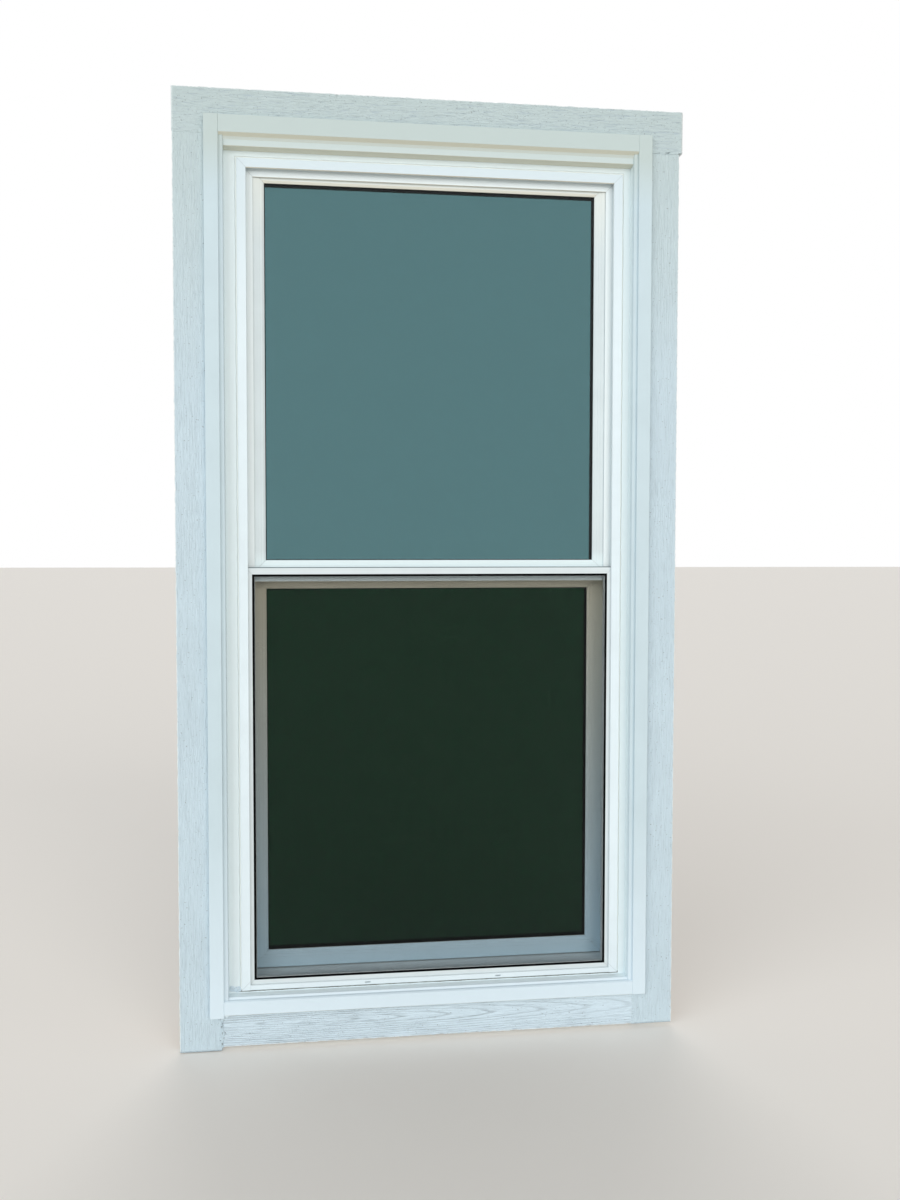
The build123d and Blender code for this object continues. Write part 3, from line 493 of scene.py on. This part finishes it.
def dress(nodes, materials):
    """Gives the CAD nodes their materials, by how their names start and end"""
    sash_ends = ("_rail", "_stile_left", "_stile_right", "_beads")
    rules = [
        ("frame", "frame_", ""),
        ("trim", "trim_", ("_head", "_left", "_right", "_sill")),
        ("upper_sash", "upper", sash_ends),
        ("lower_sash", "lower", sash_ends),
        ("screen", "screen_bar", ""),
        ("rubber", "", ("_spacer", "_blocks", "_spline", "bottom_seal")),
        ("pile", "", "pile_seals"),
        ("steel", "", ("_ribbons", "_bars", "_keepers", "_keys")),
        ("fittings", "", ("_shoes", "_coils", "_latch_left", "_latch_right")),
        ("fittings", ("lock_case", "lock_lever"), ""),
        ("upper_glass", "upper", "pane"),
        ("lower_glass", "lower", "pane"),
    ]
    for key, start, end in rules:
        for name, obj in nodes.items():
            if name.startswith(start) and name.endswith(end):
                obj.data.materials.clear()
                obj.data.materials.append(materials[key])


def new_piece(name, verts, faces, materials):
    """Mesh object from points in metres, riding on the frame"""
    data = bpy.data.meshes.new(name)
    data.from_pydata(verts, [], faces)
    data.validate()
    for material in materials:
        data.materials.append(material)
    obj = bpy.data.objects.new(name, data)
    bpy.context.scene.collection.objects.link(obj)
    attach(obj, "frame")
    return obj


def tube_faces(rings, count, closed=False, turned=False):
    """Faces between rings of points, round a closed loop or with a face on each end

    turned makes the faces look the other way, for rings whose points run the other way round
    """
    faces = []
    for ring in range(rings if closed else rings - 1):
        a, b = ring * count, (ring + 1) % rings * count
        for i in range(count):
            j = (i + 1) % count
            faces.append((a + i, b + i, b + j, a + j))
    if not closed:
        last = (rings - 1) * count
        faces += [tuple(range(count)), tuple(reversed(range(last, last + count)))]
    if turned:
        faces = [(face[0], *reversed(face[1:])) for face in faces]
    return faces


def board_profile(width, depth, step):
    """Section of a board, from its back round its front: (across, depth from the front) pairs"""
    angles = [math.radians(degrees) for degrees in (90, 60, 30)]
    left = [(BOARD_EDGE * (1 - math.sin(a)), BOARD_EDGE * (1 - math.cos(a))) for a in angles]
    right = [(width - across, drop) for across, drop in reversed(left)]
    flat = width - 2 * BOARD_EDGE
    columns = max(4, round(flat / step))
    face = [(BOARD_EDGE + flat * i / columns, 0.0) for i in range(columns + 1)]
    return [(0.0, depth), (0.0, depth * 0.5), *left, *face, *right, (width, depth * 0.5), (width, depth)]


def grain_height(along, across, seed):
    """How far the painted surface lies below the board's true face, in metres"""
    wave = wobble(along * 9, across * 16, seed)
    strokes = wobble(along * 26, across * 330, seed + 5)
    fine = wobble(along * 60, across * 700, seed + 9)
    pits = wobble(along * 260, across * 420, seed + 13)
    height = (0.36 + 0.18 * wave + 0.28 * strokes + 0.14 * fine) * MM
    if pits > PIT_START:
        height += 2 * MM * (pits - PIT_START)
    return height


def front_sink(along, across, length, seed):
    """How far a board's front lies below its true face, with its two ends rounded over"""
    end = min(along, length - along)
    return max(0.0, grain_height(along, across, seed)) + END_SINK * max(0.0, 1 - end / END_ROUND) ** 2


def edge_shift(along, across, width, seed):
    """How far a board's long edges wave inward here"""
    if min(across, width - across) >= EDGE_REACH:
        return 0.0
    side = 1 if across < width / 2 else -1
    slow = wobble(along * 55, side * 3, seed + 31)
    quick = wobble(along * 260, side * 3, seed + 37)
    return side * EDGE_WAVE * max(0.0, 0.45 + 0.5 * slow + 0.45 * quick)


def highlight_share(along, across, length, width, outer, seed):
    """How far the paint is paled here by a painted highlight along an outer edge, from 0 to 1"""
    distances = {"low": across, "high": width - across, "ends": min(along, length - along)}
    nearest = min(distances[side] for side in outer)
    paled = 0.75 + 0.5 * wobble(along * 120, across * 120, seed + 3)
    return max(0.0, min(1.0, paled * (1.25 - nearest / HIGHLIGHT_WIDTH)))


def board(name, node, level, seed, materials, steps, outer):
    """Painted rough board in a casing node's place, with its grain along its length"""
    low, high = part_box(node)
    length, width = high[Z] - low[Z], high[X] - low[X]
    if level:
        length, width = width, length
    rows = round(length / steps[0])
    section = board_profile(width, high[Y] - low[Y], steps[1])
    # A standing board's section runs the other way round, so that its faces look outward
    if not level:
        section.reverse()
    verts, highlight_shares = [], []
    for row in range(rows + 1):
        along = length * row / rows
        for across, depth in section:
            highlight_shares.append(highlight_share(along, across, length, width, outer, seed))
            y = low[Y] + depth
            if depth < ROUGH_DEPTH:
                y += front_sink(along, across, length, seed)
            place = across + edge_shift(along, across, width, seed)
            x, z = (along, place) if level else (place, along)
            verts.append((low[X] + x, y, low[Z] + z))
    count = len(section)
    obj = new_piece(name, verts, tube_faces(rows + 1, count), materials)
    # Painted highlight along the outer edges, kept on each point for the paint to read
    obj.data.attributes.new("edge_highlight", "FLOAT", "POINT").data.foreach_set("value", highlight_shares)
    for polygon in obj.data.polygons:
        back = polygon.index < rows * count and polygon.index % count == count - 1
        polygon.material_index = 1 if back else 0
        polygon.use_smooth = polygon.index < rows * count and not back
    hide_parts(node)


def casing(paints):
    """The four boards round the trim, painted in front and bare behind"""
    bare = paints["bare"]
    board("header_board", "casing_head", level=True, seed=11, materials=(paints["level"], bare),
          steps=COARSE_STEPS, outer=("high", "ends"))
    board("left_leg_board", "casing_left", level=False, seed=23, materials=(paints["upright"], bare),
          steps=COARSE_STEPS, outer=("low",))
    board("right_leg_board", "casing_right", level=False, seed=37, materials=(paints["upright"], bare),
          steps=COARSE_STEPS, outer=("high",))
    board("bottom_board", "casing_sill", level=True, seed=51, materials=(paints["ringed"], bare),
          steps=FINE_STEPS, outer=("low",))


def strand(start, end, across, verts, faces):
    """Thin four-sided strand between two points"""
    first = len(verts)
    side = Vector(across) * STRAND_RADIUS
    out = Vector((0, STRAND_RADIUS, 0))
    for point in (Vector(start), Vector(end)):
        for offset in (side, out, -side, -out):
            verts.append(tuple(point + offset))
    for i in range(4):
        j = (i + 1) % 4
        faces.append((first + i, first + j, first + 4 + j, first + 4 + i))


def insect_mesh(material):
    """Real strands, upright ones in front of level ones, stretched over the screen's lips"""
    low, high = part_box("screen_mesh")
    middle = (low[Y] + high[Y]) / 2
    front, back = middle - STRAND_RADIUS / 2, middle + STRAND_RADIUS / 2
    verts, faces = [], []
    count = round((high[X] - low[X]) / UPRIGHT_PITCH)
    for i in range(1, count):
        x = low[X] + (high[X] - low[X]) * i / count
        strand((x, front, low[Z]), (x, front, high[Z]), (1, 0, 0), verts, faces)
    count = round((high[Z] - low[Z]) / LEVEL_PITCH)
    for i in range(1, count):
        z = low[Z] + (high[Z] - low[Z]) * i / count
        strand((low[X], back, z), (high[X], back, z), (0, 0, 1), verts, faces)
    obj = new_piece("insect_mesh_strands", verts, faces, [material])
    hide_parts("screen_mesh")


def spline_ring(material):
    """Rubber cord pressed into the screen's groove, standing a little proud of the bars"""
    low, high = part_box("screen_spline")
    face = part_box("screen_bar_top")[0][Y]
    corners = [(low[X], low[Z], 1, 1), (high[X], low[Z], -1, 1),
               (high[X], high[Z], -1, -1), (low[X], high[Z], 1, -1)]
    verts = []
    for x, z, inward_x, inward_z in corners:
        for inward, depth in SPLINE_SECTION:
            verts.append((x + inward_x * inward * MM, face + depth * MM, z + inward_z * inward * MM))
    faces = tube_faces(len(corners), len(SPLINE_SECTION), closed=True, turned=True)
    obj = new_piece("spline_cord", verts, faces, [material])
    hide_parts("screen_spline")


def bead_path(left, right, bottom, top):
    """Places round the frame's nose, each with the way that leads outward from it"""
    corners = [(left, bottom), (right, bottom), (right, top), (left, top)]
    outward = [(-1, -1), (1, -1), (1, 1), (-1, 1)]
    path = []
    for i in range(4):
        a, b = Vector(corners[i]), Vector(corners[(i + 1) % 4])
        corner, next_corner = outward[i], outward[(i + 1) % 4]
        side = (0, corner[1]) if corner[1] == next_corner[1] else (corner[0], 0)
        steps = round((b - a).length / BEAD_STEP)
        for step in range(steps):
            path.append((a.lerp(b, step / steps), Vector(side if step else corner)))
    return path


def bead_section(place, back, leg):
    """Section of the bead here, uneven in width and height: (distance outward, depth) pairs"""
    wide = 1 + 0.22 * wobble(place.x * 55, place.y * 55, 3) + 0.12 * wobble(place.x * 210, place.y * 210, 8)
    tall = 1 + 0.25 * wobble(place.x * 48, place.y * 48, 17)
    return [(0.0, back), (BEAD_FOOT, back), (BEAD_FOOT, leg),
            (BEAD_REACH * 0.92 * wide, leg - 0.05 * MM),
            (BEAD_REACH * 0.45 * wide, leg - 0.75 * MM * tall),
            (BEAD_REACH * 0.16, leg - 1.7 * MM * tall),
            (0.0, leg - 2.7 * MM * tall)]


def sealant_bead(material):
    """Hand-tooled bead round the frame's nose"""
    low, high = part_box("trim_sealant")
    path = bead_path(low[X] + BEAD_REACH, high[X] - BEAD_REACH, low[Z] + BEAD_REACH, high[Z] - BEAD_REACH)
    verts = []
    for place, outward in path:
        section = bead_section(place, high[Y], high[Y] - BEAD_LEG)
        for across, depth in section:
            verts.append((place.x + outward.x * across, depth, place.y + outward.y * across))
    count = len(section)
    obj = new_piece("sealant_bead", verts, tube_faces(len(path), count, closed=True), [material])
    for polygon in obj.data.polygons:
        polygon.use_smooth = polygon.index % count in BEAD_ROUNDED_SIDES
    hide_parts("trim_sealant")


def seam_fill(name, start, end, width, height, ragged, seed, material):
    """Paint and filler bridging a joint between two boards: a low, lumpy, closed strip"""
    a, b = Vector(start), Vector(end)
    length = (b - a).length
    run = (b - a).normalized()
    side = Vector((run.z, 0, -run.x))
    rows = max(4, round(length / SEAM_STEP))
    verts = []
    for row in range(rows + 1):
        along = row / rows * length
        spread = width * max(0.12, 0.7 + ragged * wobble(along * 90, seed, 0))
        drift = width * 0.25 * wobble(along * 45, seed, 4)
        for column in range(SEAM_COLUMNS + 1):
            u = column / SEAM_COLUMNS * 2 - 1
            lump = max(0.0, 0.6 + 0.9 * wobble(along * 160, u * 1.6, seed + 7))
            rise = height * lump * math.cos(u * math.pi / 2) ** 0.5 if abs(u) < 1 else 0.0
            point = a + run * along + side * (u * spread / 2 + drift)
            verts.append((point.x, point.y + SEAM_DIP * u * u - rise, point.z))
        for u in (1, -1):
            point = a + run * along + side * (u * spread / 2 + drift)
            verts.append((point.x, point.y + SEAM_DEPTH, point.z))
    obj = new_piece(name, verts, tube_faces(rows + 1, SEAM_COLUMNS + 3, turned=True), [material])
    for polygon in obj.data.polygons:
        polygon.use_smooth = True


def seams(paints):
    """Filler over the joints between the boards"""
    _, face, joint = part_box("casing_head")[0]
    flush, proud = face + FLUSH, face + PROUD
    left, right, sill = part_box("casing_left"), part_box("casing_right"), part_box("casing_sill")
    foot, top = sill[0][Z] + 1 * MM, sill[1][Z]
    seam_fill("header_seam_left", (left[0][X] + 1.5 * MM, flush, joint), (left[1][X] - 1 * MM, flush, joint),
              width=12 * MM, height=0.3 * MM, ragged=0.4, seed=3, material=paints["level"])
    seam_fill("header_seam_right", (right[0][X] + 1 * MM, flush, joint), (right[1][X] - 3 * MM, flush, joint),
              width=5 * MM, height=0.25 * MM, ragged=1.1, seed=27, material=paints["level"])
    seam_fill("bottom_seam_left", (sill[0][X], proud, foot), (sill[0][X], proud, top),
              width=12 * MM, height=2.6 * MM, ragged=1.3, seed=9, material=paints["cracked"])
    seam_fill("bottom_seam_right", (sill[1][X], flush, foot), (sill[1][X], flush, top),
              width=10 * MM, height=0.3 * MM, ragged=0.4, seed=15, material=paints["level"])


def corner_smear(material):
    """Sealant smeared over the trim's lower left corner"""
    low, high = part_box("trim_sealant")
    x, z, y = low[X] + BEAD_REACH, low[Z] + BEAD_REACH, high[Y] - BEAD_LEG + 0.3 * MM
    seam_fill("corner_smear", (x - 25 * MM, y, z + 5 * MM), (x - 0.5 * MM, y, z + 1 * MM),
              width=17 * MM, height=2.6 * MM, ragged=1.2, seed=21, material=material)


def camera():
    """Camera at the photograph's place and angle"""
    data = bpy.data.cameras.new("camera")
    obj = bpy.data.objects.new("camera", data)
    bpy.context.scene.collection.objects.link(obj)
    data.sensor_fit = "AUTO"
    data.sensor_width = SENSOR
    data.lens = FOCAL_PIXELS / max(PHOTO_WIDTH, PHOTO_HEIGHT) * SENSOR
    data.shift_x = -CENTRE_RIGHT / PHOTO_HEIGHT
    data.shift_y = -CENTRE_UP / PHOTO_HEIGHT
    data.clip_start = 0.05
    data.clip_end = 100
    obj.location = CAMERA_PLACE
    turns = ((-CAMERA_YAW, "Z"), (CAMERA_PITCH, "X"), (CAMERA_ROLL, "Y"), (90, "X"))
    matrix = Matrix.Identity(3)
    for degrees, axis in turns:
        matrix = matrix @ Matrix.Rotation(math.radians(degrees), 3, axis)
    obj.rotation_euler = matrix.to_euler()
    bpy.context.scene.camera = obj


def lamp(name, place, strength, colour):
    """Very soft light from one direction, which gloss and glass don't mirror"""
    data = bpy.data.lights.new(name, "SUN")
    data.angle = math.radians(LAMP_SPREAD)
    data.energy = strength
    data.color = colour
    obj = bpy.data.objects.new(name, data)
    obj.location = place
    obj.rotation_euler = (Vector(LAMP_TARGET) - Vector(place)).to_track_quat("-Z", "Y").to_euler()
    obj.visible_glossy = False
    obj.visible_transmission = False
    bpy.context.scene.collection.objects.link(obj)


def white_world():
    """World that is white where it is seen, mirrored or seen through glass, and dimmer as a light"""
    world = bpy.data.worlds.new("world")
    bpy.context.scene.world = world
    world.use_nodes = True
    tree = world.node_tree
    path = tree.nodes.new("ShaderNodeLightPath")
    seen = path.outputs["Is Camera Ray"]
    for name in ("Is Glossy Ray", "Is Transmission Ray"):
        either = tree.nodes.new("ShaderNodeMath")
        either.operation = "MAXIMUM"
        tree.links.new(seen, either.inputs[0])
        tree.links.new(path.outputs[name], either.inputs[1])
        seen = either.outputs[0]
    strength = tree.nodes.new("ShaderNodeMapRange")
    strength.inputs["To Min"].default_value = WORLD_LIGHT
    strength.inputs["To Max"].default_value = WORLD_SEEN
    tree.links.new(seen, strength.inputs["Value"])
    background = tree.nodes["Background"]
    background.inputs["Color"].default_value = (1, 1, 1, 1)
    tree.links.new(strength.outputs[0], background.inputs["Strength"])


def studio():
    """Pale floor, even world and soft lamps"""
    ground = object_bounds()[0][Z] - FLOOR_DROP
    bpy.ops.mesh.primitive_plane_add(size=FLOOR_SIZE, location=(0, 0, ground))
    floor = bpy.context.object
    floor.name = "floor"
    m = Nodes("floor")
    m.set(base_color=linear(FLOOR), roughness=0.9)
    floor.data.materials.append(m.material)
    white_world()
    lamp("key", (-4.6, -4.2, 2.9), 1.36, (0.92, 0.97, 1.0))
    lamp("front", (1.4, -5.0, 2.2), 1.47, (1.0, 0.96, 0.90))
    lamp("back", (0.6, 5.0, 3.0), 1.1, (1.0, 0.99, 0.97))


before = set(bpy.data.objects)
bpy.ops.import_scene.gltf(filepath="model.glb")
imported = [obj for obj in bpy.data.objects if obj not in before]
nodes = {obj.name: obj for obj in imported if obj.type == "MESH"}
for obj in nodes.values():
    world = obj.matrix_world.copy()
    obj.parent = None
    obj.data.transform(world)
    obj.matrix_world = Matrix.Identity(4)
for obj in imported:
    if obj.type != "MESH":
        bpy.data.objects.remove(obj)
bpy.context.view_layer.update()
bpy.context.scene.view_settings.view_transform = "Standard"
camera()
studio()

materials = node_materials([name for name in nodes if name.startswith("screen_bar")])
paints = board_paints()
dress(nodes, materials)
sealant_bead(materials["caulk"])
casing(paints)
insect_mesh(materials["mesh"])
spline_ring(materials["rubber"])
seams(paints)
corner_smear(paints["smeared"])
